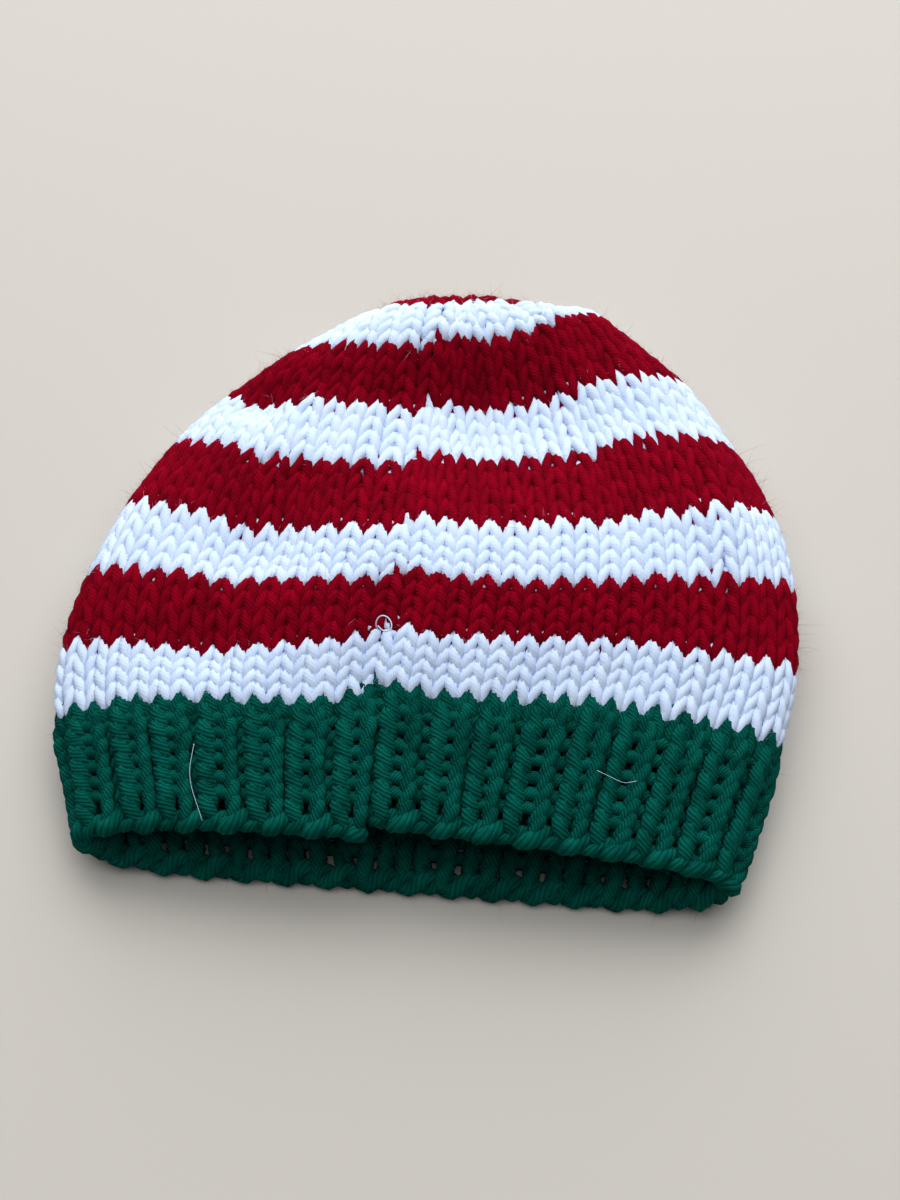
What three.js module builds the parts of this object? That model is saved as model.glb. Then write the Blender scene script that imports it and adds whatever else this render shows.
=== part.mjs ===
// A knitted baby hat: a green ribbed brim and a body of white and red stripes, gathered shut at the
// crown. It lies on its back layer. X runs across the hat, Y from the opening to the crown, Z up.
// Lengths are in millimetres. Each stripe is a closed ring wall, and the last one closes the crown.

import * as THREE from 'three';

// Sizes of the hat as it lies

const bodyWidth = 154; // flat width at the widest stripe
const bodyLength = 101; // from the top of the brim to the crown
const bodyHeight = 38; // height of the ridge before the crown, at mid wall
const brimWidth = 149; // flat width where the brim meets the body
const brimDepth = 34; // from the cast-on edge to the first stripe
const rimHeight = 18.5; // height of the front layer at the opening, at mid wall
const bodyWall = 3.8; // thickness of plain knitting in this yarn
const brimWall = 3.8; // thickness of one layer of ribbing
const ribDepth = 1; // how far a rib stands out from the middle of the ribbing
const gap = 0.3; // clearance between one stripe and the next
const crownTip = 1; // how far the gathered centre stands past the last round

// Counts of stitches and rounds

const stitches = 64; // round the brim and the widest stripes
const ribs = 32; // one knit and one purl stitch each
const brimRounds = 8;
const castOnRounds = 0.6; // the cast-on edge, in rounds of ribbing
const stripeRounds = 4;
const stripeColours = ['white', 'red', 'white', 'red', 'white', 'red', 'white', 'red'];
const bodyRounds = stripeRounds * stripeColours.length;
const lastRound = bodyRounds - 0.8; // the round that is gathered shut

// Shape of one section: a closed loop with a puffed front layer and a back layer flat on the floor

const frontFullness = 2.2; // over 2, the front layer is squarer than an ellipse
const backFullness = 3;
const backPress = 1.25; // over 1, the back layer is pressed flat on the floor
const foldShare = 0.42; // height of the side folds, as a share of the section's height
const joinPlace = -0.13; // where the rounds begin and end, as a share of the half width

const table = (columns, rows) =>
  rows.map((row) => Object.fromEntries(columns.map((column, i) => [column, row[i]])));

// Sections of the brim. round, front, back and bow are shares of the brim's depth, and front and back
// are where the two layers lie. halfWidth and centre are shares of half the brim's width, and top is
// a share of the rim's height.
const brimSections = table(
  ['round', 'front', 'back', 'halfWidth', 'centre', 'top', 'low', 'bow', 'lean'],
  [
    [-1, -0.91, -1.07, 0.872, -0.02, 1, 0, 0, 0],
    [-0.465, -0.455, -0.56, 0.94, -0.02, 1.16, 0, 0, 0],
  ],
);

// Sections of the body. round is a share of the rounds, front, back, bow and lean of the body's length,
// halfWidth and centre of half its width, and top and low of its height.
const bodySections = table(
  ['round', 'front', 'back', 'halfWidth', 'centre', 'top', 'low', 'bow', 'lean'],
  [
    [0, -0.01, -0.02, 1, -0.013, 0.645, 0, -0.01, 0.025],
    [0.125, 0.1, 0.115, 0.99, 0, 0.75, 0, 0.02, 0.03],
    [0.25, 0.23, 0.25, 0.97, 0.01, 0.815, 0, 0.065, 0.04],
    [0.375, 0.345, 0.375, 0.91, 0.015, 0.83, 0, 0.11, 0.035],
    [0.5, 0.52, 0.525, 0.805, 0.01, 0.79, 0, 0.11, 0.035],
    [0.625, 0.66, 0.655, 0.67, 0.005, 0.87, 0, 0.105, 0.05],
    [0.75, 0.8, 0.795, 0.495, -0.005, 0.97, 0, 0.05, 0.045],
    [0.875, 0.905, 0.9, 0.3, -0.01, 0.87, 0.037, 0.03, 0.02],
    [0.9375, 0.96, 0.96, 0.18, -0.01, 0.7, 0.142, 0.01, 0.01],
    [1, 0.99, 0.995, 0.02, -0.01, 0.475, 0.353, 0, 0],
  ],
);

// Dents and swells of the front layer. across and wide are shares of half the body's width, along,
// long and pull of its length, and lift of its height. pull moves the rounds toward the crown.
const folds = table(
  ['across', 'along', 'wide', 'long', 'lift', 'pull'],
  [
    [0.1, 0.69, 0.34, 0.15, -0.2, 0], // hollow before the crown ridge
    [0.64, 0.585, 0.26, 0.1, 0.08, 0.02], // swell on the right flank
    [0.48, 0.75, 0.22, 0.1, 0.055, 0.015], // its end below the ridge
    [0.35, 0.85, 0.155, 0.08, 0, 0.05], // right end of the ridge
    [-0.61, 0.09, 0.235, 0.07, -0.08, -0.02], // lower end of the long valley
    [-0.51, 0.3, 0.22, 0.12, -0.105, -0.015], // middle of the long valley
    [0.32, 0.24, 0.34, 0.08, 0, -0.015], // slack rounds right of the join
    [0.77, 0.445, 0.18, 0.08, 0.055, 0.01], // swell at the right fold
    [-0.545, 0.675, 0.09, 0.05, -0.105, -0.02], // short fold by the left edge
    [-0.43, 0.545, 0.235, 0.08, 0.055, -0.03], // swell on the left flank
    [-0.15, 0.04, 0.07, 0.14, 0, 0.02], // tight rounds at the join
    [-0.4, 0, 0.2, 0.08, 0, -0.01], // slack rounds left of the join
    [0.5, 0.08, 0.25, 0.12, 0, 0.012], // tight rounds over the right end of the brim
  ],
);

// The rows of both tables in millimetres, in order from the rim to the crown

const brimLow = (brimWall + ribDepth) / 2;
const allSections = [
  ...brimSections.map((s) => ({
    round: s.round * (brimRounds + castOnRounds),
    front: s.front * brimDepth,
    back: s.back * brimDepth,
    halfWidth: (s.halfWidth * brimWidth) / 2,
    centre: (s.centre * brimWidth) / 2,
    top: s.top * rimHeight,
    low: brimLow + s.low * rimHeight,
    bow: s.bow * brimDepth,
    lean: s.lean * brimDepth,
  })),
  ...bodySections.map((s) => ({
    round: s.round * bodyRounds,
    front: s.front * bodyLength,
    back: s.back * bodyLength,
    halfWidth: (s.halfWidth * (s.round === 0 ? brimWidth : bodyWidth)) / 2,
    centre: (s.centre * bodyWidth) / 2,
    top: s.top * bodyHeight,
    low: bodyWall / 2 + s.low * bodyHeight,
    bow: s.bow * bodyLength,
    lean: s.lean * bodyLength,
  })),
];

// A smooth curve through one column of the sections, with the slope at a row taken from its neighbours

function smoothColumn(column) {
  const x = allSections.map((s) => s.round);
  const y = allSections.map((s) => s[column]);
  const rise = x.slice(1).map((end, i) => (y[i + 1] - y[i]) / (end - x[i]));
  const slope = x.map((here, i) => {
    if (i === 0) return rise[0];
    if (i === x.length - 1) return rise[i - 1];
    const before = here - x[i - 1];
    const after = x[i + 1] - here;
    return (rise[i - 1] * after + rise[i] * before) / (before + after);
  });
  return (round) => {
    let i = 0;
    while (i < x.length - 2 && round > x[i + 1]) i += 1;
    const step = x[i + 1] - x[i];
    const t = THREE.MathUtils.clamp((round - x[i]) / step, 0, 1);
    const start = (2 * t ** 3 - 3 * t ** 2 + 1) * y[i] + (t ** 3 - 2 * t ** 2 + t) * slope[i] * step;
    const end = (3 * t ** 2 - 2 * t ** 3) * y[i + 1] + (t ** 3 - t ** 2) * slope[i + 1] * step;
    return start + end;
  };
}

const sectionColumns = ['front', 'back', 'halfWidth', 'centre', 'top', 'low', 'bow', 'lean'];
const sectionCurves = sectionColumns.map((column) => [column, smoothColumn(column)]);
const sectionAt = (round) =>
  Object.fromEntries(sectionCurves.map(([column, curve]) => [column, curve(round)]));

// One point of a section. angle is 0 at the right fold and a quarter turn at the top.

const signedPower = (value, power) => Math.sign(value) * Math.abs(value) ** power;

function sectionPoint(section, angle) {
  const { front, back, halfWidth, centre, top, low, bow, lean } = section;
  const across = signedPower(Math.cos(angle), 2 / frontFullness);
  const sine = Math.sin(angle);
  const up = sine > 0 ? sine : -Math.min(1, backPress * Math.abs(sine) ** (2 / backFullness));
  const fold = low + foldShare * (top - low);
  const frontShare = (1 + up) / 2;
  const x = centre + halfWidth * across;
  let y = back + (front - back) * frontShare + bow * across ** 2 + lean * across;
  let z = fold + up * (up > 0 ? top - fold : fold - low);
  const onFront = THREE.MathUtils.clamp((up + 0.2) / 0.7, 0, 1);
  let lift = 0;
  let pull = 0;
  for (const dent of folds) {
    const dx = ((x * 2) / bodyWidth - dent.across) / dent.wide;
    const dy = (y / bodyLength - dent.along) / dent.long;
    const share = onFront * Math.exp(-dx * dx - dy * dy);
    lift += dent.lift * share;
    pull += dent.pull * share;
  }
  y += pull * bodyLength;
  z += lift * bodyHeight;
  return new THREE.Vector3(x, y, z);
}

// A section as a loop of even arc length from the join of the rounds, going left over the front layer

const loopSteps = 192;

function makeLoop(round) {
  const section = sectionAt(round);
  const joinX = section.centre + joinPlace * section.halfWidth;
  const points = [];
  for (let i = 0; i <= loopSteps; i += 1) {
    points.push(sectionPoint(section, (2 * Math.PI * i) / loopSteps));
  }
  const length = [0];
  for (let i = 1; i <= loopSteps; i += 1) {
    length.push(length[i - 1] + points[i].distanceTo(points[i - 1]));
  }
  let at = 0;
  while (points[at + 1].x > joinX) at += 1;
  const part = (points[at].x - joinX) / (points[at].x - points[at + 1].x);
  const joinLength = length[at] + part * (length[at + 1] - length[at]);
  const whole = length[loopSteps];
  return (turn) => {
    const target = THREE.MathUtils.euclideanModulo(joinLength + turn * whole, whole);
    let low = 0;
    let high = loopSteps;
    while (high - low > 1) {
      const middle = (low + high) >> 1;
      if (length[middle] > target) high = middle;
      else low = middle;
    }
    const share = (target - length[low]) / (length[high] - length[low]);
    return points[low].clone().lerp(points[high], share);
  };
}

// The middle of the wall at a round and a turn, with its outward normal and its direction to the crown

const nearRound = 0.35;
const nearTurn = 0.5 / stitches;
const firstRound = allSections[0].round;

function wallFrame(round, turn) {
  const loop = makeLoop(round);
  const before = makeLoop(Math.max(round - nearRound, firstRound))(turn);
  const after = makeLoop(Math.min(round + nearRound, bodyRounds))(turn);
  const along = after.sub(before).normalize();
  const around = loop(turn + nearTurn).sub(loop(turn - nearTurn)).normalize();
  const out = new THREE.Vector3().crossVectors(along, around).normalize();
  return { middle: loop(turn), out, along };
}

// The rounds climb by one row in each turn, so an edge that starts at the join ends one row higher.
// Part of the climb is even, and the last columns before the join take the rest.

const evenClimb = 0.5; // in rows
const lateClimb = 1 - evenClimb;
const lateColumns = 2.2; // how many columns the late climb takes

const climb = (column) =>
  evenClimb * (column / stitches - 0.5) + lateClimb * Math.exp((column - stitches) / lateColumns);

// One column of a row, as a frame of the wall. Half columns lie straight between their neighbours.

function makeRow(roundOfColumn, points) {
  const frames = [];
  for (let column = 0; column < stitches; column += 1) {
    frames.push(wallFrame(roundOfColumn(column), column / stitches));
  }
  const perStitch = points / stitches;
  return Array.from({ length: points }, (_, i) => {
    const here = frames[Math.floor(i / perStitch)];
    const next = frames[(Math.floor(i / perStitch) + 1) % stitches];
    const share = (i % perStitch) / perStitch;
    return {
      turn: i / points,
      middle: here.middle.clone().lerp(next.middle, share),
      out: here.out.clone().lerp(next.out, share).normalize(),
      along: here.along.clone().lerp(next.along, share).normalize(),
    };
  });
}

// A skin of the wall: each frame's point moved outward and along. Nothing goes below the floor.

function skinRow(row, outward, along) {
  return row.map((frame) => {
    const point = frame.middle.clone();
    point.addScaledVector(frame.out, outward(frame.turn));
    point.addScaledVector(frame.along, along);
    point.z = Math.max(point.z, 0);
    return point;
  });
}

// A closed ring wall from rows of outer and inner points. An open end gets a flat edge, and a closed
// end gets a tip on each skin.

function ringWall(outer, inner, tips) {
  const positions = [];
  const triangle = (a, b, c) => {
    for (const corner of [a, b, c]) positions.push(corner.x, corner.y, corner.z);
  };
  const last = outer.length - 1;
  const points = outer[0].length;
  for (let i = 0; i < points; i += 1) {
    const next = (i + 1) % points;
    for (let row = 0; row < last; row += 1) {
      triangle(outer[row][i], outer[row + 1][i], outer[row + 1][next]);
      triangle(outer[row][i], outer[row + 1][next], outer[row][next]);
      triangle(inner[row][i], inner[row + 1][next], inner[row + 1][i]);
      triangle(inner[row][i], inner[row][next], inner[row + 1][next]);
    }
    triangle(outer[0][i], outer[0][next], inner[0][next]);
    triangle(outer[0][i], inner[0][next], inner[0][i]);
    if (tips) {
      triangle(outer[last][i], tips.outer, outer[last][next]);
      triangle(inner[last][i], inner[last][next], tips.inner);
    } else {
      triangle(outer[last][i], inner[last][next], outer[last][next]);
      triangle(outer[last][i], inner[last][i], inner[last][next]);
    }
  }
  const geometry = new THREE.BufferGeometry();
  geometry.setAttribute('position', new THREE.Float32BufferAttribute(positions, 3));
  geometry.computeVertexNormals();
  return geometry;
}

// Yarn colours

const yarn = (colour) => new THREE.MeshStandardMaterial({ color: colour, roughness: 0.9, metalness: 0 });
const green = yarn(0x0a6650);
const stripeYarn = { white: yarn(0xe4e6ee), red: yarn(0xa30a26) };

const makePiece = (name, geometry, material) => {
  const piece = new THREE.Mesh(geometry, material);
  piece.name = name;
  return piece;
};

// Brim: the ribbing waves in and out, so the inside has a rib where the outside has a groove, and the
// cast-on edge is rounded off

function makeBrim() {
  const rowCount = 4;
  const pointsPerRib = 4;
  const edgeShare = 0.6; // thickness of the cast-on edge
  const rimRound = firstRound + evenClimb / 2;
  const wave = (turn) => ribDepth * Math.cos(2 * Math.PI * ribs * turn);
  const outer = [];
  const inner = [];
  for (let i = 0; i <= rowCount; i += 1) {
    const round = rimRound * (1 - i / rowCount);
    const row = makeRow((column) => round + climb(column), ribs * pointsPerRib);
    const half = (brimWall / 2) * (i === 0 ? edgeShare : 1);
    const shift = i === rowCount ? -gap / 2 : 0;
    outer.push(skinRow(row, (turn) => wave(turn) + half, shift));
    inner.push(skinRow(row, (turn) => wave(turn) - half, shift));
  }
  return makePiece('brim', ringWall(outer, inner), green);
}

// Stripes: each starts and ends half a gap from its neighbours. The last one is gathered to a tip.

function makeStripe(index) {
  const rowCount = 3;
  const isCrown = index === stripeColours.length - 1;
  const startRound = index * stripeRounds;
  const outer = [];
  const inner = [];
  for (let i = 0; i <= rowCount; i += 1) {
    const share = i / rowCount;
    const endRound = (column) => (isCrown ? lastRound : startRound + stripeRounds + climb(column));
    const roundOf = (column) =>
      (startRound + climb(column)) * (1 - share) + endRound(column) * share;
    const row = makeRow(roundOf, stitches);
    let shift = 0;
    if (i === 0) shift = gap / 2;
    if (i === rowCount && !isCrown) shift = -gap / 2;
    outer.push(skinRow(row, () => bodyWall / 2, shift));
    inner.push(skinRow(row, () => -bodyWall / 2, shift));
  }
  const middleOf = (row) => {
    const sum = row.reduce((total, point) => total.add(point), new THREE.Vector3());
    return sum.divideScalar(row.length).add(new THREE.Vector3(0, crownTip, 0));
  };
  const tips = isCrown ? { outer: middleOf(outer[rowCount]), inner: middleOf(inner[rowCount]) } : null;
  const colour = stripeColours[index];
  const name = isCrown ? `crown_${colour}` : `stripe_${colour}_${Math.floor(index / 2) + 1}`;
  return makePiece(name, ringWall(outer, inner, tips), stripeYarn[colour]);
}

// The hat, with its origin under the middle of its bounding box, on the surface that it lies on

const hat = new THREE.Group();
hat.name = 'baby_hat';
hat.add(makeBrim());
for (let index = 0; index < stripeColours.length; index += 1) {
  hat.add(makeStripe(index));
}
const box = new THREE.Box3().setFromObject(hat);
hat.position.set(-(box.min.x + box.max.x) / 2, -(box.min.y + box.max.y) / 2, -box.min.z);

export default hat;
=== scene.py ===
# %% [markdown]
# # A knitted baby hat, stitch by stitch
#
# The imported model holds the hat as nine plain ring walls: a ribbed brim and eight stripes. A real hat
# of this kind is one long row of loops that climbs round and round. This lesson lays real loops of
# yarn on the same curved wall, so that every stitch, rib and hole is a shape and not a picture.

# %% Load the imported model
import math

import bpy
import numpy as np
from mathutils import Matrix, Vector


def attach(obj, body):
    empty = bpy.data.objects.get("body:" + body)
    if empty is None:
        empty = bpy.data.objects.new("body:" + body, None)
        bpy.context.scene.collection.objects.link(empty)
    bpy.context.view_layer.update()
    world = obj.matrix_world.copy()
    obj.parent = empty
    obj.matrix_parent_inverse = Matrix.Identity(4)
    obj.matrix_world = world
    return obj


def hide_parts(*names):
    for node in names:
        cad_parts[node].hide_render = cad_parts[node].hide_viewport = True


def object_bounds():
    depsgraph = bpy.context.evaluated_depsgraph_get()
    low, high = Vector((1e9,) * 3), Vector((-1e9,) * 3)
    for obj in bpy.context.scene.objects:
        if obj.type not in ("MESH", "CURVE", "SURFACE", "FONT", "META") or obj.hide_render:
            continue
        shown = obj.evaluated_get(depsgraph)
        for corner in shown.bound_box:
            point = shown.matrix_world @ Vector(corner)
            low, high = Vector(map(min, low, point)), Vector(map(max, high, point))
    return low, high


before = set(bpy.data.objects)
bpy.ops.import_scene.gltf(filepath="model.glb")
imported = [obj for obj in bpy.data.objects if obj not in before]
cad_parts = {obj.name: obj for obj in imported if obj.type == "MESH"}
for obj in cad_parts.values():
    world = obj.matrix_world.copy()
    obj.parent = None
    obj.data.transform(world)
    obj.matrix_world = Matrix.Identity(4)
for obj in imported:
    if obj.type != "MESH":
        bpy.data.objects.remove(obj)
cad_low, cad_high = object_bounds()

MM = 0.001
print("wall model, low and high corner in mm:", [round(c / MM, 1) for c in (*cad_low, *cad_high)])

# %% [markdown]
# ## The shape of the hat
#
# The hat lies on its back layer. Its wall is described by a few sections across it, each a closed
# loop: a puffed front layer above, and a back layer flat on the floor. The rows below are the same
# as those of the wall model, as shares of a few real sizes in millimetres, so that the yarn lies
# exactly where the walls are.

# %% Real sizes and the sections
BODY_WIDTH = 154.0
BODY_LENGTH = 101.0
BODY_HEIGHT = 38.0
BRIM_WIDTH = 149.0
BRIM_DEPTH = 34.0
RIM_HEIGHT = 18.5
BODY_WALL = 3.8
BRIM_WALL = 3.8
RIB_DEPTH = 1.0

STITCHES = 64
RIBS = 32
BRIM_ROUNDS = 8
CAST_ON_ROUNDS = 0.6
STRIPE_ROUNDS = 4
STRIPE_YARNS = ("white", "red", "white", "red", "white", "red", "white", "red")
BODY_ROUNDS = STRIPE_ROUNDS * len(STRIPE_YARNS)

FRONT_FULLNESS = 2.2
BACK_FULLNESS = 3.0
BACK_PRESS = 1.25
FOLD_SHARE = 0.42
JOIN_PLACE = -0.13

COLUMNS = ("round", "front", "back", "half_width", "centre", "top", "low", "bow", "lean")
BRIM_SECTIONS = (
    (-1, -0.91, -1.07, 0.872, -0.02, 1, 0, 0, 0),
    (-0.465, -0.455, -0.56, 0.94, -0.02, 1.16, 0, 0, 0),
)
BODY_SECTIONS = (
    (0, -0.01, -0.02, 1, -0.013, 0.645, 0, -0.01, 0.025),
    (0.125, 0.1, 0.115, 0.99, 0, 0.75, 0, 0.02, 0.03),
    (0.25, 0.23, 0.25, 0.97, 0.01, 0.815, 0, 0.065, 0.04),
    (0.375, 0.345, 0.375, 0.91, 0.015, 0.83, 0, 0.11, 0.035),
    (0.5, 0.52, 0.525, 0.805, 0.01, 0.79, 0, 0.11, 0.035),
    (0.625, 0.66, 0.655, 0.67, 0.005, 0.87, 0, 0.105, 0.05),
    (0.75, 0.8, 0.795, 0.495, -0.005, 0.97, 0, 0.05, 0.045),
    (0.875, 0.905, 0.9, 0.3, -0.01, 0.87, 0.037, 0.03, 0.02),
    (0.9375, 0.96, 0.96, 0.18, -0.01, 0.7, 0.142, 0.01, 0.01),
    (1, 0.99, 0.995, 0.02, -0.01, 0.475, 0.353, 0, 0),
)

# across, along, wide, long, lift, pull: dents and swells of the front layer
FOLDS = (
    (0.1, 0.69, 0.34, 0.15, -0.2, 0),
    (0.64, 0.585, 0.26, 0.1, 0.08, 0.02),
    (0.48, 0.75, 0.22, 0.1, 0.055, 0.015),
    (0.35, 0.85, 0.155, 0.08, 0, 0.05),
    (-0.61, 0.09, 0.235, 0.07, -0.08, -0.02),
    (-0.51, 0.3, 0.22, 0.12, -0.105, -0.015),
    (0.32, 0.24, 0.34, 0.08, 0, -0.015),
    (0.77, 0.445, 0.18, 0.08, 0.055, 0.01),
    (-0.545, 0.675, 0.09, 0.05, -0.105, -0.02),
    (-0.43, 0.545, 0.235, 0.08, 0.055, -0.03),
    (-0.15, 0.04, 0.07, 0.14, 0, 0.02),
    (-0.4, 0, 0.2, 0.08, 0, -0.01),
    (0.5, 0.08, 0.25, 0.12, 0, 0.012),
)


def section_table():
    """The rows of both tables in millimetres, as one array for each column."""
    brim = np.array(BRIM_SECTIONS, float)
    body = np.array(BODY_SECTIONS, float)
    half_brim, half_body = BRIM_WIDTH / 2, BODY_WIDTH / 2
    brim_scale = (BRIM_ROUNDS + CAST_ON_ROUNDS, BRIM_DEPTH, BRIM_DEPTH, half_brim, half_brim,
                  RIM_HEIGHT, RIM_HEIGHT, BRIM_DEPTH, BRIM_DEPTH)
    body_scale = (BODY_ROUNDS, BODY_LENGTH, BODY_LENGTH, half_body, half_body,
                  BODY_HEIGHT, BODY_HEIGHT, BODY_LENGTH, BODY_LENGTH)
    brim *= brim_scale
    body *= body_scale
    body[0, COLUMNS.index("half_width")] *= half_brim / half_body
    brim[:, COLUMNS.index("low")] += (BRIM_WALL + RIB_DEPTH) / 2
    body[:, COLUMNS.index("low")] += BODY_WALL / 2
    rows = np.vstack([brim, body])
    return {name: rows[:, i] for i, name in enumerate(COLUMNS)}


TABLE = section_table()
FIRST_ROUND = TABLE["round"][0]
print("sections:", len(TABLE["round"]), "from round", FIRST_ROUND, "to", BODY_ROUNDS)

# %% [markdown]
# ## From sections to a surface
#
# Between two rows of the table every value follows a smooth curve. Each section then becomes a loop,
# and its points are spread by arc length from the place where the rounds join, because knitted
# columns keep an even width. The result is a grid that gives a point, and the way out of the wall,
# for any round and any share of a turn.

# %% A smooth curve through a column, and one loop for each round
def smooth_column(name, rounds):
    x, y = TABLE["round"], TABLE[name]
    slope = np.gradient(y, x)
    i = np.clip(np.searchsorted(x, rounds, side="right") - 1, 0, len(x) - 2)
    step = x[i + 1] - x[i]
    t = np.clip((rounds - x[i]) / step, 0, 1)
    start = (2 * t**3 - 3 * t**2 + 1) * y[i] + (t**3 - 2 * t**2 + t) * slope[i] * step
    end = (3 * t**2 - 2 * t**3) * y[i + 1] + (t**3 - t**2) * slope[i + 1] * step
    return start + end


def signed_power(value, power):
    return np.sign(value) * np.abs(value) ** power


def section_loops(rounds, steps=256):
    at = {name: smooth_column(name, rounds)[:, None] for name in COLUMNS[1:]}
    angle = np.linspace(0, 2 * math.pi, steps + 1)[None, :]
    across = signed_power(np.cos(angle), 2 / FRONT_FULLNESS)
    sine = np.sin(angle)
    pressed = -np.minimum(1, BACK_PRESS * np.abs(sine) ** (2 / BACK_FULLNESS))
    up = np.where(sine > 0, sine, pressed)
    fold = at["low"] + FOLD_SHARE * (at["top"] - at["low"])
    x = at["centre"] + at["half_width"] * across
    y = at["back"] + (at["front"] - at["back"]) * (1 + up) / 2
    y = y + at["bow"] * across**2 + at["lean"] * across
    z = fold + up * np.where(up > 0, at["top"] - fold, fold - at["low"])
    on_front = np.clip((up + 0.2) / 0.7, 0, 1)
    lift, pull = np.zeros_like(x), np.zeros_like(x)
    for dent_across, along, wide, long, dent_lift, dent_pull in FOLDS:
        dx = (2 * x / BODY_WIDTH - dent_across) / wide
        dy = (y / BODY_LENGTH - along) / long
        share = on_front * np.exp(-dx**2 - dy**2)
        lift += dent_lift * share
        pull += dent_pull * share
    points = np.stack([x, y + pull * BODY_LENGTH, z + lift * BODY_HEIGHT], -1)
    join_x = (at["centre"] + JOIN_PLACE * at["half_width"])[:, 0]
    return points, join_x


# %% The grid of the whole wall
GRID_ROUND = 0.125
GRID_TURNS = 512


def unit(vectors):
    return vectors / np.maximum(np.linalg.norm(vectors, axis=-1, keepdims=True), 1e-9)


def wall_grid():
    rounds = np.arange(FIRST_ROUND, BODY_ROUNDS + GRID_ROUND / 2, GRID_ROUND)
    loops, join_x = section_loops(rounds)
    turns = np.linspace(0, 1, GRID_TURNS + 1)
    grid = np.empty((len(rounds), GRID_TURNS + 1, 3))
    for i, loop in enumerate(loops):
        length = np.concatenate([[0], np.cumsum(np.linalg.norm(np.diff(loop, axis=0), axis=1))])
        at = np.argmax(loop[1:, 0] <= join_x[i])
        part = (loop[at, 0] - join_x[i]) / (loop[at, 0] - loop[at + 1, 0])
        join_length = length[at] + part * (length[at + 1] - length[at])
        target = (join_length + turns * length[-1]) % length[-1]
        for axis in range(3):
            grid[i, :, axis] = np.interp(target, length, loop[:, axis])
    along = unit(np.gradient(grid, axis=0))
    ring = grid[:, :-1]
    around = np.roll(ring, -1, axis=1) - np.roll(ring, 1, axis=1)
    around = np.concatenate([around, around[:, :1]], axis=1)
    out = unit(np.cross(along, around))
    return grid, out


WALL_GRID, OUT_GRID = wall_grid()


def skin_box():
    """The box of the wall model in the hat's own place, to find how far it was moved."""
    rounds = FIRST_ROUND + GRID_ROUND * np.arange(len(WALL_GRID))
    turns = np.linspace(0, 1, GRID_TURNS + 1)
    rib = BRIM_WALL / 2 + RIB_DEPTH * np.cos(2 * math.pi * RIBS * turns)
    stand = np.where(rounds[:, None] < 0, rib[None, :], BODY_WALL / 2)
    skin = WALL_GRID + OUT_GRID * stand[..., None]
    skin = skin.reshape(-1, 3)
    return skin.min(0), skin.max(0)


skin_low, skin_high = skin_box()
cad_middle = np.array([(cad_low.x + cad_high.x) / 2, (cad_low.y + cad_high.y) / 2, 0]) / MM
SHIFT = cad_middle - np.array([(skin_low[0] + skin_high[0]) / 2, (skin_low[1] + skin_high[1]) / 2, 0])
print("the hat's own origin lies at", SHIFT.round(2), "mm in the frame")


def on_wall(rounds, turns):
    """Middle of the wall and way out at rounds and turns, between the points of the grid."""
    r = np.clip((rounds - FIRST_ROUND) / GRID_ROUND, 0, len(WALL_GRID) - 1.001)
    t = (turns % 1.0) * GRID_TURNS
    i, j = r.astype(int), t.astype(int)
    a, b = (r - i)[..., None], (t - j)[..., None]
    both = []
    for grid in (WALL_GRID, OUT_GRID):
        low = grid[i, j] * (1 - b) + grid[i, j + 1] * b
        high = grid[i + 1, j] * (1 - b) + grid[i + 1, j + 1] * b
        both.append(low * (1 - a) + high * a)
    return both[0] + SHIFT, unit(both[1])


# %% [markdown]
# ## A camera where the photographer stood
#
# The hat is seen from above its opening, a little from the right of its middle line. The place was
# found by laying the outline of the wall over the picture until the stripes matched.

# %% Camera
CAMERA_AZIMUTH = 5.0
CAMERA_ELEVATION = 62.0
CAMERA_DISTANCE = 430.0
CAMERA_AIM = np.array([3.0, 27.0, 15.0])
CAMERA_LENS = 60.0


def add_camera():
    a, e = math.radians(CAMERA_AZIMUTH), math.radians(CAMERA_ELEVATION)
    back = np.array([math.sin(a) * math.cos(e), -math.cos(a) * math.cos(e), math.sin(e)])
    place = (CAMERA_AIM + SHIFT + back * CAMERA_DISTANCE) * MM
    data = bpy.data.cameras.new("camera")
    data.lens = CAMERA_LENS
    data.sensor_width = 36.0
    data.clip_start = 0.01
    camera = bpy.data.objects.new("camera", data)
    camera.location = place
    camera.rotation_euler = Vector(-back).to_track_quat("-Z", "Y").to_euler()
    bpy.context.scene.collection.objects.link(camera)
    bpy.context.scene.camera = camera


add_camera()

# %% [markdown]
# ## Yarn as a tube
#
# A strand is a list of points with a thickness. A tube is swept along it, with a map that tells the
# material how far along and how far round the yarn it is, so that the twist of the plies can follow.

# %% Sweep a strand into a closed tube
TUBE_SIDES = 6
FLOOR_GAP = 0.03


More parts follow.
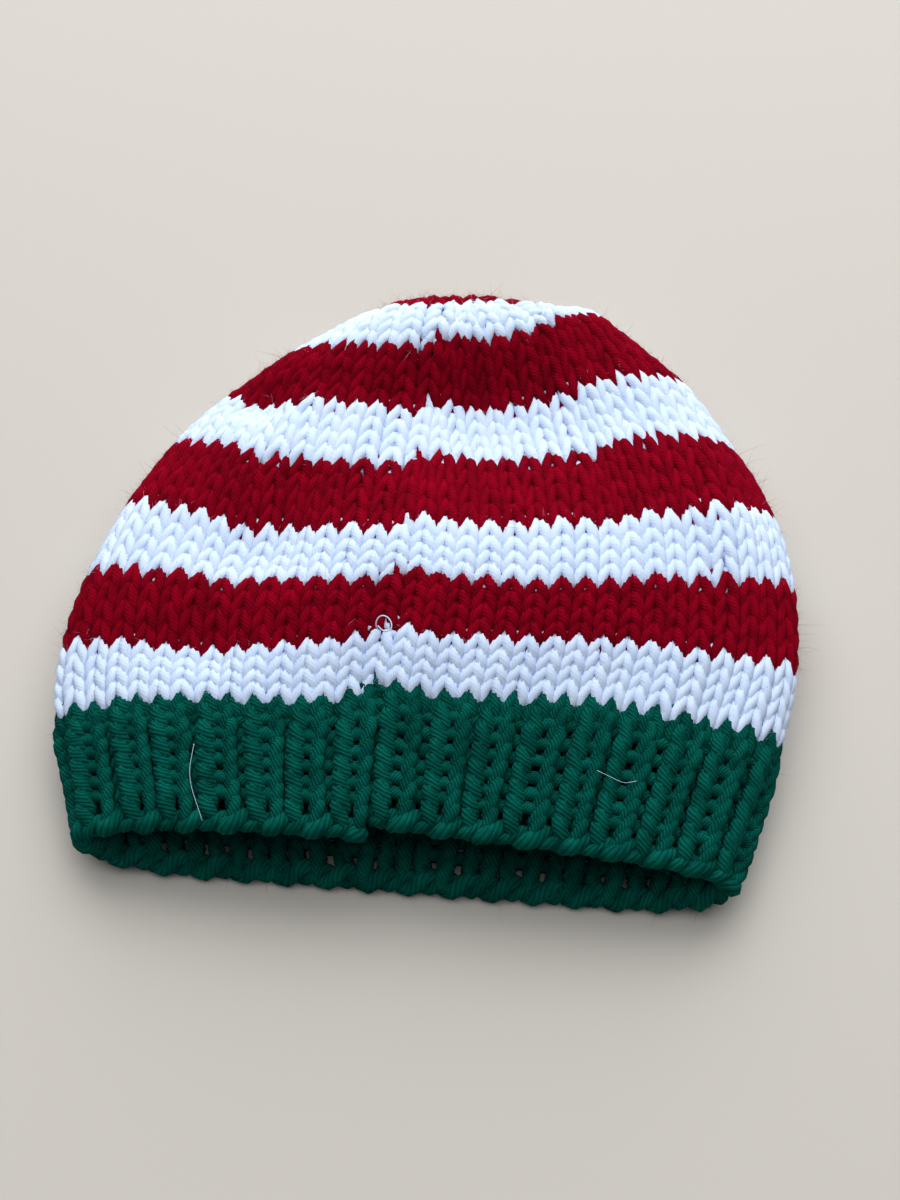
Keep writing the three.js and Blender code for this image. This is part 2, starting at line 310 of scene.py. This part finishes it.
def sweep(points, ways_out, radius, shade, sides=TUBE_SIDES, twist=1.0):
    """Vertices, triangles, corner map and shade of a closed tube along a strand, in millimetres."""
    count = len(points)
    tangent = unit(np.gradient(points, axis=0))
    side = unit(np.cross(tangent, ways_out))
    up = np.cross(side, tangent)
    angle = 2 * math.pi * (np.arange(sides) / sides - 0.5)
    ring = np.cos(angle)[None, :, None] * up[:, None] + np.sin(angle)[None, :, None] * side[:, None]
    vertices = (points[:, None] + ring * radius[:, None, None]).reshape(-1, 3)
    i = np.arange(count - 1)[:, None]
    j = np.arange(sides)[None, :]
    k = (j + 1) % sides
    a, b = i * sides + j, i * sides + k
    c, d = b + sides, a + sides
    triangles = np.stack([np.stack([a, b, c], -1), np.stack([a, c, d], -1)], -2).reshape(-1, 3)
    length = np.concatenate([[0], np.cumsum(np.linalg.norm(np.diff(points, axis=0), axis=1))])
    length *= twist
    u0, u1 = length[:-1, None] + 0 * j, length[1:, None] + 0 * j
    v0, v1 = j / sides + 0 * i, (j + 1) / sides + 0 * i
    corner = [np.stack(pair, -1) for pair in ((u0, v0), (u0, v1), (u1, v1), (u1, v0))]
    first = np.stack([corner[0], corner[1], corner[2]], -2)
    second = np.stack([corner[0], corner[2], corner[3]], -2)
    corners = np.stack([first, second], -3).reshape(-1, 3, 2)
    last = (count - 1) * sides
    caps = []
    for n in range(sides):
        after = (n + 1) % sides
        caps.append((after, n, count * sides))
        caps.append((last + n, last + after, count * sides + 1))
    cap_map = np.zeros((len(caps), 3, 2))
    vertices = np.vstack([vertices, points[0], points[-1]])
    shades = np.concatenate([np.repeat(shade, sides), [shade[0], shade[-1]]])
    return vertices, np.vstack([triangles, caps]), np.vstack([corners, cap_map]), shades


def join_meshes(parts):
    vertices, triangles, corners, shades = [], [], [], []
    total = 0
    for v, t, c, s in parts:
        vertices.append(v)
        triangles.append(t + total)
        corners.append(c)
        shades.append(s)
        total += len(v)
    return np.vstack(vertices), np.vstack(triangles), np.vstack(corners), np.concatenate(shades)


def make_piece(name, parts, material):
    """One object from arrays, kept above the floor, with its yarn map and its shade."""
    vertices, triangles, corners, shades = join_meshes(parts)
    vertices[:, 2] = np.maximum(vertices[:, 2], FLOOR_GAP)
    mesh = bpy.data.meshes.new(name)
    mesh.vertices.add(len(vertices))
    mesh.vertices.foreach_set("co", (vertices * MM).astype(np.float32).ravel())
    mesh.loops.add(triangles.size)
    mesh.loops.foreach_set("vertex_index", triangles.astype(np.int32).ravel())
    mesh.polygons.add(len(triangles))
    mesh.polygons.foreach_set("loop_start", np.arange(0, triangles.size, 3, dtype=np.int32))
    mesh.update(calc_edges=True)
    layer = mesh.uv_layers.new(name="yarn")
    layer.data.foreach_set("uv", corners.astype(np.float32).ravel())
    attribute = mesh.attributes.new("shade", "FLOAT", "POINT")
    attribute.data.foreach_set("value", shades.astype(np.float32))
    mesh.shade_smooth()
    mesh.materials.append(material)
    piece = bpy.data.objects.new(name, mesh)
    bpy.context.scene.collection.objects.link(piece)
    print(name, "has", len(triangles), "triangles")
    return piece


# %% [markdown]
# ## One plain stitch
#
# Yarn in plain knitting runs up one leg of a loop, over its head and down the other leg. Three waves
# describe it: it drifts along the row and sways, it goes up and down once, and it goes in and out
# twice, so that the legs lie in front and the heads and feet behind. Rows placed one above another
# then lock into each other, and the legs show as a column of V shapes.

# %% Waves of a plain stitch and of a rib stitch
SAMPLES = 16
SWAY = 0.21
REACH = 1.0
PLAIN_DEPTH = 0.6
FOOT_SQUEEZE = 0.03
YARN_RADIUS = 1.26

RIB_SPREAD = -0.31
RIB_SWAY = 0.2
RIB_YARN = 1.22
RIB_LEG = 1.65
RIB_HEAD = 0.45


def legs(t, right, left):
    """Thickness of the yarn. Its twist makes the left leg look broad and the right leg narrow."""
    return np.where(t < math.pi, right, left) * np.sin(t) ** 2 + np.cos(t) ** 2


def plain_wave(t):
    """Sideways, upward and outward place of the yarn: in stitches, in rows and in millimetres."""
    x = t / (2 * math.pi) - 0.5 + SWAY * np.sin(2 * t)
    y = -REACH * np.cos(t)
    z = -PLAIN_DEPTH * np.cos(2 * t)
    return np.array([x, y, z, legs(t, 0.95, 1.08) - FOOT_SQUEEZE * np.cos(t)])


def rib_wave(t):
    x = t / (2 * math.pi) - 0.5 + RIB_SPREAD * np.sin(t) + RIB_SWAY * np.sin(2 * t)
    y = -REACH * np.cos(t)
    middle = (RIB_LEG + RIB_HEAD / 2) / 2
    swing = (RIB_LEG - RIB_HEAD / 2) / 2
    z = middle - swing * np.cos(2 * t) - RIB_HEAD / 2 * np.cos(t)
    return np.array([x, y, z, RIB_YARN * legs(t, 0.86, 1.14)])


# %% [markdown]
# ## Rounds, decreases and the join
#
# The body has 64 stitches a round at first. Toward the crown, eight pairs of stitches are knitted
# together at a time, which narrows the hat. Before a decrease its two columns lean together, and
# after it the new column starts wide and evens out. Because the yarn climbs as it goes round, each
# stripe ends one row higher than it starts, which shows as a small step at the join. Part of the
# climb is even, and the last columns before the join take the rest.

# %% Places of the stitches in each round
SECTORS = 8
DECREASE_ROUNDS = (15, 19, 23, 25, 27, 29, 31)
EVEN_CLIMB = 0.5
LATE_COLUMNS = 2.2
CROWN_PACE = 0.79


def stitch_edges(index):
    """Where the stitches of a round begin and end, as shares of a turn."""
    done = [r for r in DECREASE_ROUNDS if r <= index]
    coming = [r for r in DECREASE_ROUNDS if r > index]
    widths = np.ones(STITCHES // SECTORS - len(done))
    if done:
        widths[-1] *= 1 + 0.5 ** (index - done[-1] + 1)
    if coming:
        widths[-2:] *= 1 - 0.5 ** (coming[0] - index + 1)
    edges = np.concatenate([[0], np.cumsum(np.tile(widths, SECTORS))])
    return edges / edges[-1]


def climb(turns):
    """Rows that the yarn has climbed at a share of a turn, from the middle of its round."""
    whole = np.floor(turns)
    share = turns - whole
    late = np.exp((share - 1) * STITCHES / LATE_COLUMNS)
    return whole + EVEN_CLIMB * (share - 0.5) + (1 - EVEN_CLIMB) * late


print("stitches in a round:", [len(stitch_edges(index)) - 1 for index in (0, 15, 19, 23, 27, 31)])

# %% [markdown]
# ## Hand knitting is never even
#
# A few long waves over the whole hat make some columns a little wider and some rows a little
# higher, and they move the cloth in and out by a fraction of a millimetre. Neighbouring rounds share
# them, so the stitches stay locked. Each stitch also has a small slip and thickness of its own.

# %% Slack in the cloth and a strand for each round
rng = np.random.default_rng(1225)
SLACK_WAVES = 7
WAVES_AROUND = (5, 24)
WAVE_SLANT = 0.35
SIDE_SLACK = 0.1
ROW_SLACK = 0.08
OUT_SLACK = 0.35
SIDE_JITTER = 0.05
ROW_JITTER = 0.04
SIZE_JITTER = 0.05


def make_slack():
    around = rng.integers(*WAVES_AROUND, SLACK_WAVES)
    along = rng.uniform(-WAVE_SLANT, WAVE_SLANT, SLACK_WAVES)
    phase = rng.uniform(0, 2 * math.pi, SLACK_WAVES)

    def slack(rounds, turns):
        angle = 2 * math.pi * around * turns[:, None] + along * rounds[:, None] + phase
        return np.sin(angle).sum(1) / math.sqrt(SLACK_WAVES)

    return slack


SIDE_WAVES, ROW_WAVES, OUT_WAVES = make_slack(), make_slack(), make_slack()


def place_on_wall(rounds, turns, depths):
    """Points and ways out for yarn at rounds, turns and depths, with the slack of the cloth."""
    side = SIDE_SLACK / STITCHES * SIDE_WAVES(rounds, turns)
    rise = ROW_SLACK * ROW_WAVES(rounds, turns)
    points, out = on_wall(rounds + rise, turns + side)
    depths = depths + OUT_SLACK * OUT_WAVES(rounds, turns)
    return points + out * depths[:, None], out


def round_strand(index, stitch):
    """Points, ways out, thickness and shade of the yarn of one round."""
    edges = stitch_edges(index)
    count = len(edges) - 1
    t = 2 * math.pi * np.arange(SAMPLES) / SAMPLES
    in_stitch = np.sin(t / 2) ** 2
    side = rng.normal(0, SIDE_JITTER, count)
    rise = rng.normal(0, ROW_JITTER, count)
    size = rng.normal(0, SIZE_JITTER, count)
    tone = rng.normal(0, 1, count)
    turns, rounds, depths, radii, shades = [], [], [], [], []
    for n in range(count):
        x, y, z, thick = stitch["wave"](index, n, t)
        width = edges[n + 1] - edges[n]
        turn = (edges[n] + edges[n + 1]) / 2 + (x + side[n] * in_stitch) * width
        turns.append(turn)
        rounds.append(stitch["height"](index, climb(turn) + y + rise[n] * in_stitch))
        depths.append(z)
        radii.append(YARN_RADIUS * thick * (1 + size[n] * in_stitch))
        shades.append(tone[n] * in_stitch)
    turns, rounds, depths = (np.concatenate(each) for each in (turns, rounds, depths))
    points, out = place_on_wall(rounds, turns, depths)
    return points, out, np.concatenate(radii), np.concatenate(shades)


def tuck_ends(points, out, reach=7, depth=2.5):
    """Leads both ends of a strand to the inside of the hat, where a knitter hides them."""
    share = np.clip(1 - np.arange(len(points)) / reach, 0, 1) ** 2
    share = np.maximum(share, share[::-1])
    return points - out * (share * depth)[:, None]


def strand_of_rounds(rounds, stitch):
    each = [round_strand(index, stitch) for index in rounds]
    points, out, radii, shades = (np.concatenate(column) for column in zip(*each))
    return tuck_ends(points, out), out, radii, shades


# %% [markdown]
# ## Loose fibres
#
# Soft yarn has a halo. Most fibres are short straight needles, and a few are longer with a bend.
# They are rooted on the outer half of the yarn, so they also show against the light along the
# outline. The red yarn is the fuzziest.

# %% Fibres as one mesh for each piece
FIBRE_RADIUS = 0.02
ROOT_DEPTH = 0.9
ROOT_FAN = 1.7
LIE_ALONG = 1.1
LIE_ASTRAY = 0.45
LENGTH_SPREAD = 0.45
LENGTH_SHARES = (0.3, 2.5)
FIBRE_BEND = 0.4
FIBRE_SAG = 0.1


def needle_faces(rings):
    """Triangles of a three-sided needle: its base, the sides between its rings and its tip."""
    faces = [(0, 2, 1)]
    for n in range(3):
        a, b = n, (n + 1) % 3
        for low in range(0, 3 * rings - 3, 3):
            faces += [(a + low, b + low, b + low + 3), (a + low, b + low + 3, a + low + 3)]
        faces.append((a + 3 * rings - 3, b + 3 * rings - 3, 3 * rings))
    return np.array(faces)


def fibres(strand, count, length, rings):
    """Needles on the outer side of a strand, straight with one ring or bent with two."""
    points, out, radii, shades = strand
    picked = rng.integers(2, len(points) - 2, count)
    tangent = unit(np.gradient(points, axis=0))[picked]
    way = out[picked]
    side = unit(np.cross(tangent, way))
    angle = rng.uniform(-ROOT_FAN, ROOT_FAN, count)[:, None]
    stand = np.cos(angle) * way + np.sin(angle) * side
    root = points[picked] + stand * radii[picked][:, None] * ROOT_DEPTH
    lean = tangent * rng.normal(0, LIE_ALONG, count)[:, None]
    lie = unit(stand + lean + rng.normal(0, LIE_ASTRAY, (count, 3)))
    reach = length * np.clip(rng.lognormal(0, LENGTH_SPREAD, count), *LENGTH_SHARES)[:, None]
    bend = rng.normal(0, FIBRE_BEND, (count, 3)) - np.array([0, 0, FIBRE_SAG])
    steps = np.linspace(0, 1, rings + 1)
    spine = np.stack([root + reach * (s * lie + s * s * bend) for s in steps], 1)
    across = unit(np.cross(lie, rng.normal(0, 1, (count, 3))))
    upward = np.cross(lie, across)
    thirds = [2 * math.pi * n / 3 for n in range(3)]
    ring = np.stack([math.cos(a) * across + math.sin(a) * upward for a in thirds], 1)
    sides = [spine[:, r, None] + FIBRE_RADIUS * ring for r in range(rings)]
    vertices = np.concatenate([*sides, spine[:, rings:]], 1)
    each = 3 * rings + 1
    triangles = (needle_faces(rings)[None] + each * np.arange(count)[:, None, None]).reshape(-1, 3)
    corners = np.full((len(triangles), 3, 2), 0.5)
    return vertices.reshape(-1, 3), triangles, corners, np.repeat(shades[picked], each)


# %% [markdown]
# ## Yarn finish, with painted shade between the plies
#
# The yarn is several thin plies twisted together. One node group draws the twist from the yarn map,
# as a height for the bump and a mask for the shadow between plies, and a second one gives the slight
# unevenness of dyed wool. Both are shared by the three colours.

# %% Node groups for the plies and for the dye
def srgb(red, green, blue):
    def linear(c):
        c /= 255
        return c / 12.92 if c <= 0.04045 else ((c + 0.055) / 1.055) ** 2.4
    return (linear(red), linear(green), linear(blue), 1.0)


def new_group(name, inputs, outputs):
    group = bpy.data.node_groups.new(name, "ShaderNodeTree")
    for label, kind, value in inputs:
        socket = group.interface.new_socket(label, in_out="INPUT", socket_type=kind)
        if value is not None:
            socket.default_value = value
    for label, kind in outputs:
        group.interface.new_socket(label, in_out="OUTPUT", socket_type=kind)
    return group, group.nodes.new("NodeGroupInput"), group.nodes.new("NodeGroupOutput")


def math_node(tree, operation, first, second=None, third=None):
    node = tree.nodes.new("ShaderNodeMath")
    node.operation = operation
    for socket, value in zip(node.inputs, (first, second, third)):
        if value is None:
            continue
        if isinstance(value, (int, float)):
            socket.default_value = value
        else:
            tree.links.new(value, socket)
    return node.outputs[0]


def ply_group():
    group, inside, outside = new_group(
        "yarn_plies",
        [("Yarn Map", "NodeSocketVector", None), ("Plies", "NodeSocketFloat", 7.0),
         ("Twist Length", "NodeSocketFloat", 5.6)],
        [("Height", "NodeSocketFloat"), ("Groove Shade", "NodeSocketFloat")],
    )
    parts = group.nodes.new("ShaderNodeSeparateXYZ")
    group.links.new(inside.outputs["Yarn Map"], parts.inputs[0])
    twist = math_node(group, "DIVIDE", parts.outputs["X"], inside.outputs["Twist Length"])
    around = math_node(group, "ADD", parts.outputs["Y"], twist)
    phase = math_node(group, "MULTIPLY", around, inside.outputs["Plies"])
    saw = math_node(group, "FRACT", phase)
    centred = math_node(group, "MULTIPLY_ADD", saw, 2.0, -1.0)
    square = math_node(group, "MULTIPLY", centred, centred)
    round_ply = math_node(group, "SUBTRACT", 1.0, square)
    strands = group.nodes.new("ShaderNodeCombineXYZ")
    group.links.new(math_node(group, "MULTIPLY", phase, 2.2), strands.inputs["X"])
    group.links.new(math_node(group, "MULTIPLY", parts.outputs["X"], 0.35), strands.inputs["Y"])
    grain = group.nodes.new("ShaderNodeTexNoise")
    grain.inputs["Scale"].default_value = 2.0
    grain.inputs["Detail"].default_value = 3.0
    group.links.new(strands.outputs[0], grain.inputs["Vector"])
    height = math_node(group, "MULTIPLY_ADD", grain.outputs["Fac"], 0.7, round_ply)
    group.links.new(height, outside.inputs["Height"])
    # Groove Shade is high where two plies meet; the materials paint it as shade between the plies.
    group.links.new(math_node(group, "POWER", square, 3.0), outside.inputs["Groove Shade"])
    return group


def dye_group():
    group, inside, outside = new_group(
        "uneven_dye",
        [("Place", "NodeSocketVector", None), ("Shade", "NodeSocketFloat", 0.0)],
        [("Tone", "NodeSocketFloat")],
    )
    cloud = group.nodes.new("ShaderNodeTexNoise")
    cloud.inputs["Scale"].default_value = 260.0
    cloud.inputs["Detail"].default_value = 4.0
    group.links.new(inside.outputs["Place"], cloud.inputs["Vector"])
    tone = math_node(group, "MULTIPLY_ADD", inside.outputs["Shade"], 0.06, cloud.outputs["Fac"])
    group.links.new(tone, outside.inputs["Tone"])
    return group


PLIES = ply_group()
DYE = dye_group()


# %% One material for each colour of yarn
def yarn_material(name, light, dark, groove_shade, depth, softness):
    material = bpy.data.materials.new(name)
    material.use_nodes = True
    tree = material.node_tree
    shader = tree.nodes["Principled BSDF"]
    shader.inputs["Roughness"].default_value = 0.95
    shader.inputs["Specular IOR Level"].default_value = 0.03
    shader.inputs["Sheen Weight"].default_value = 0.02
    shader.inputs["Subsurface Weight"].default_value = softness
    shader.inputs["Subsurface Radius"].default_value = (0.8, 0.9, 1.0)
    shader.inputs["Subsurface Scale"].default_value = 0.0014
    shader.inputs["Sheen Roughness"].default_value = 0.5
    shader.inputs["Sheen Tint"].default_value = light
    yarn_map = tree.nodes.new("ShaderNodeUVMap")
    yarn_map.uv_map = "yarn"
    place = tree.nodes.new("ShaderNodeTexCoord")
    shade = tree.nodes.new("ShaderNodeAttribute")
    shade.attribute_name = "shade"
    plies = tree.nodes.new("ShaderNodeGroup")
    plies.node_tree = PLIES
    tree.links.new(yarn_map.outputs["UV"], plies.inputs["Yarn Map"])
    dye = tree.nodes.new("ShaderNodeGroup")
    dye.node_tree = DYE
    tree.links.new(place.outputs["Object"], dye.inputs["Place"])
    tree.links.new(shade.outputs["Fac"], dye.inputs["Shade"])
    ramp = tree.nodes.new("ShaderNodeMapRange")
    ramp.inputs["From Min"].default_value = 0.3
    ramp.inputs["From Max"].default_value = 0.7
    tree.links.new(dye.outputs["Tone"], ramp.inputs["Value"])
    base = tree.nodes.new("ShaderNodeMix")
    base.data_type = "RGBA"
    base.inputs["A"].default_value = dark
    base.inputs["B"].default_value = light
    tree.links.new(ramp.outputs["Result"], base.inputs["Factor"])
    # Painted shade between the plies: the groove colour is mixed over the base colour by the groove
    # mask, as strongly as the bump.
    groove_shaded = tree.nodes.new("ShaderNodeMix")
    groove_shaded.data_type = "RGBA"
    groove_shaded.inputs["B"].default_value = groove_shade
    tree.links.new(math_node(tree, "MULTIPLY", plies.outputs["Groove Shade"], depth), groove_shaded.inputs["Factor"])
    tree.links.new(base.outputs["Result"], groove_shaded.inputs["A"])
    tree.links.new(groove_shaded.outputs["Result"], shader.inputs["Base Color"])
    bump = tree.nodes.new("ShaderNodeBump")
    bump.inputs["Strength"].default_value = depth
    bump.inputs["Distance"].default_value = 0.0003
    tree.links.new(plies.outputs["Height"], bump.inputs["Height"])
    tree.links.new(bump.outputs["Normal"], shader.inputs["Normal"])
    return material


# The groove colour of each yarn is the painted shade between its plies.
YARN = {
    "white": yarn_material(
        "white_yarn", light=srgb(216, 229, 250), dark=srgb(207, 222, 247),
        groove_shade=srgb(188, 205, 242), depth=0.15, softness=0.0),
    "red": yarn_material(
        "red_yarn", light=srgb(146, 1, 27), dark=srgb(112, 1, 19),
        groove_shade=srgb(70, 0, 11), depth=0.45, softness=0.25),
    "green": yarn_material(
        "green_yarn", light=srgb(4, 94, 81), dark=srgb(1, 66, 57),
        groove_shade=srgb(0, 32, 28), depth=0.8, softness=0.2),
}

# %% [markdown]
# ## The stripes
#
# Each stripe is four rounds of one colour, and one unbroken strand. The last stripe is drawn
# together at the crown.

# %% Knit the stripes
# short fibres on each stitch and their length, then long ones and theirs
FUZZ = {
    "white": (30, 0.9, 4, 1.5),
    "red": (70, 1.2, 12, 2.3),
    "green": (28, 0.9, 4, 1.6),
}


def plain_in_stripe(index, number, t):
    return plain_wave(t)


def height_in_stripe(index, rows):
    return index + 0.5 + rows


def height_in_crown(index, rows):
    start = BODY_ROUNDS - STRIPE_ROUNDS
    return start + (index - start + 0.5 + rows) * CROWN_PACE


def fuzz(strand, colour, samples_each=SAMPLES):
    stitches = len(strand[0]) // samples_each
    short, short_length, long, long_length = FUZZ[colour]
    straight = fibres(strand, short * stitches, short_length, rings=1)
    bent = fibres(strand, long * stitches, long_length, rings=2)
    return [straight, bent]


def knit_stripe(number):
    first = number * STRIPE_ROUNDS
    is_crown = number == len(STRIPE_YARNS) - 1
    colour = STRIPE_YARNS[number]
    stitch = {"wave": plain_in_stripe, "height": height_in_crown if is_crown else height_in_stripe}
    strand = strand_of_rounds(range(first, first + STRIPE_ROUNDS), stitch)
    node = f"crown_{colour}" if is_crown else f"stripe_{colour}_{number // 2 + 1}"
    piece = make_piece(f"knit_{node}", [sweep(*strand), *fuzz(strand, colour)], YARN[colour])
    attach(piece, "root")
    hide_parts(node)


for number in range(len(STRIPE_YARNS)):
    knit_stripe(number)

# %% [markdown]
# ## The brim
#
# One knit stitch and one purl stitch take turns. Knit loops lie in front and spread wide, purl loops
# lie behind, and the yarn steps between the two layers. The cast-on edge is a thick strand that
# winds once for every rib, so it shows as a row of slanted lobes, with a thinner one behind it.

# %% Knit the ribbing and wind the cast-on edge
ROPE_ROUNDS = 1.5
ROPE_OUT = 1.1
ROPE_LEAN = 1.0
ROPE_SAG = 0.5
THICK_STRAND = 1.9
THIN_STRAND = 1.3
ROPE_TWIST = 0.25
ROPE_JITTER = 0.04
RIB_PACE = (BRIM_ROUNDS + CAST_ON_ROUNDS - ROPE_ROUNDS + 0.2) / BRIM_ROUNDS
STEPS_PER_RIB = 16
# how much ribbing is left in the last two rounds before the plain knitting
FADE = {-1: 0.15, -2: 0.65}


def stitch_in_rib(index, number, t):
    rib = rib_wave(t)
    if number % 2:
        rib[2] = -rib[2]
    share = FADE.get(index, 1.0)
    return share * rib + (1 - share) * plain_wave(t)


def height_in_brim(index, rows):
    return (index + 1 + rows) * RIB_PACE - 0.5


def rope_strand(start, thickness):
    """One strand of the cast-on edge, wound round the rim's line."""
    turns = np.arange(0, 1, 1 / (RIBS * STEPS_PER_RIB))
    angle = 2 * math.pi * (RIBS * turns + start)
    rounds = FIRST_ROUND + ROPE_ROUNDS / 2 + climb(turns) - climb(np.zeros(1))
    middle, out = on_wall(rounds, turns)
    above, _ = on_wall(rounds + 0.3, turns)
    along = unit(above - middle)
    turned_out, turned_up = np.cos(angle)[:, None], np.sin(angle)[:, None]
    place = turned_out * (ROPE_OUT * out - ROPE_SAG * along) - ROPE_LEAN * turned_up * along
    radius = thickness * (1 + rng.normal(0, ROPE_JITTER, len(turns)))
    shade = np.sin(angle / 3 + start)
    return tuck_ends(middle + place, out), unit(place), radius, shade


def knit_brim():
    stitch = {"wave": stitch_in_rib, "height": height_in_brim}
    ribbing = strand_of_rounds(range(-BRIM_ROUNDS, 0), stitch)
    ropes = [rope_strand(0.0, THICK_STRAND), rope_strand(0.5, THIN_STRAND)]
    parts = [sweep(*ribbing), *fuzz(ribbing, "green")]
    for rope in ropes:
        parts += [sweep(*rope, twist=ROPE_TWIST), *fuzz(rope, "green", STEPS_PER_RIB)]
    piece = make_piece("knit_brim", parts, YARN["green"])
    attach(piece, "root")
    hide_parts("brim")


knit_brim()

# %% [markdown]
# ## Stray fibres
#
# Two long white fibres cling to the ribbing, and a small white curl sticks out where the rounds of
# the first white stripe join.

# %% Lay three stray fibres
STRAY_STEPS = 24
SMOOTHING_PASSES = 6
STRAY_RADIUS = 0.05
CURL_RADIUS = 0.14
STRAY_SIDES = 5


def stray_fibre(rounds, columns, height, thickness):
    """A smooth thin tube through a few places: rounds, columns of stitches and heights."""
    points, out = on_wall(np.array(rounds), np.array(columns) / STITCHES)
    points = points + out * np.array(height)[:, None]
    fine = np.linspace(0, len(points) - 1, STRAY_STEPS)
    smooth = [np.interp(fine, np.arange(len(points)), points[:, axis]) for axis in range(3)]
    points = np.stack(smooth, 1)
    for _ in range(SMOOTHING_PASSES):
        points[1:-1] = (points[:-2] + 2 * points[1:-1] + points[2:]) / 4
    out = np.repeat(out[:1], len(points), 0)
    return sweep(points, out, np.full(STRAY_STEPS, thickness), np.zeros(STRAY_STEPS), STRAY_SIDES)


left_fibre = stray_fibre(
    [-3.4, -5.0, -6.0, -8.0], [7.5, 7.8, 7.8, 7.4], [3.2, 3.4, 3.2, 3.1], STRAY_RADIUS)
right_fibre = stray_fibre(
    [-3.3, -3.6, -3.8, -3.5], [53.9, 53.2, 52.6, 52.0], [2.9, 3.5, 3.3, 2.7], STRAY_RADIUS)
curl_rounds = [4.1, 4.3, 5.0, 5.1, 4.6, 4.0, 3.9, 4.3]
curl_columns = [64.1, 64.25, 64.15, 63.8, 63.45, 63.5, 63.85, 64.1]
curl_height = [1.4, 2.4, 2.9, 3.0, 3.0, 2.9, 2.8, 2.2]
curl = stray_fibre(curl_rounds, curl_columns, curl_height, CURL_RADIUS)
strays = make_piece("stray_fibres", [left_fibre, right_fibre, curl], YARN["white"])
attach(strays, "root")

# %% [markdown]
# ## Floor and light
#
# A pale plain floor, a large soft light behind the hat and a wide one above it give the soft shadow
# that the picture has under the rim, and a dark mouth.

# %% Floor
def floor_material():
    material = bpy.data.materials.new("floor")
    material.use_nodes = True
    shader = material.node_tree.nodes["Principled BSDF"]
    shader.inputs["Base Color"].default_value = srgb(196, 188, 178)
    shader.inputs["Roughness"].default_value = 0.7
    return material


bpy.ops.object.select_all(action="DESELECT")
bpy.ops.mesh.primitive_plane_add(size=6.0, location=(0, 0, 0))
floor = bpy.context.object
floor.name = "floor"
floor.data.materials.append(floor_material())


# %% Lights
def area_light(name, place, size, power, colour):
    data = bpy.data.lights.new(name, "AREA")
    data.shape = "DISK"
    data.size = size
    data.energy = power
    data.color = colour
    light = bpy.data.objects.new(name, data)
    light.location = place
    light.rotation_euler = (-Vector(place)).to_track_quat("-Z", "Y").to_euler()
    bpy.context.scene.collection.objects.link(light)


area_light("window", (0.0, 1.25, 0.9), 2.2, 31.0, (0.93, 0.97, 1.0))
area_light("ceiling", (0.0, 0.4, 1.7), 3.0, 36.0, (0.93, 0.97, 1.0))
world = bpy.data.worlds.new("studio")
world.use_nodes = True
world.node_tree.nodes["Background"].inputs["Color"].default_value = (0.8, 0.86, 1.0, 1.0)
world.node_tree.nodes["Background"].inputs["Strength"].default_value = 0.08
bpy.context.scene.world = world
bpy.context.scene.view_settings.view_transform = "Standard"
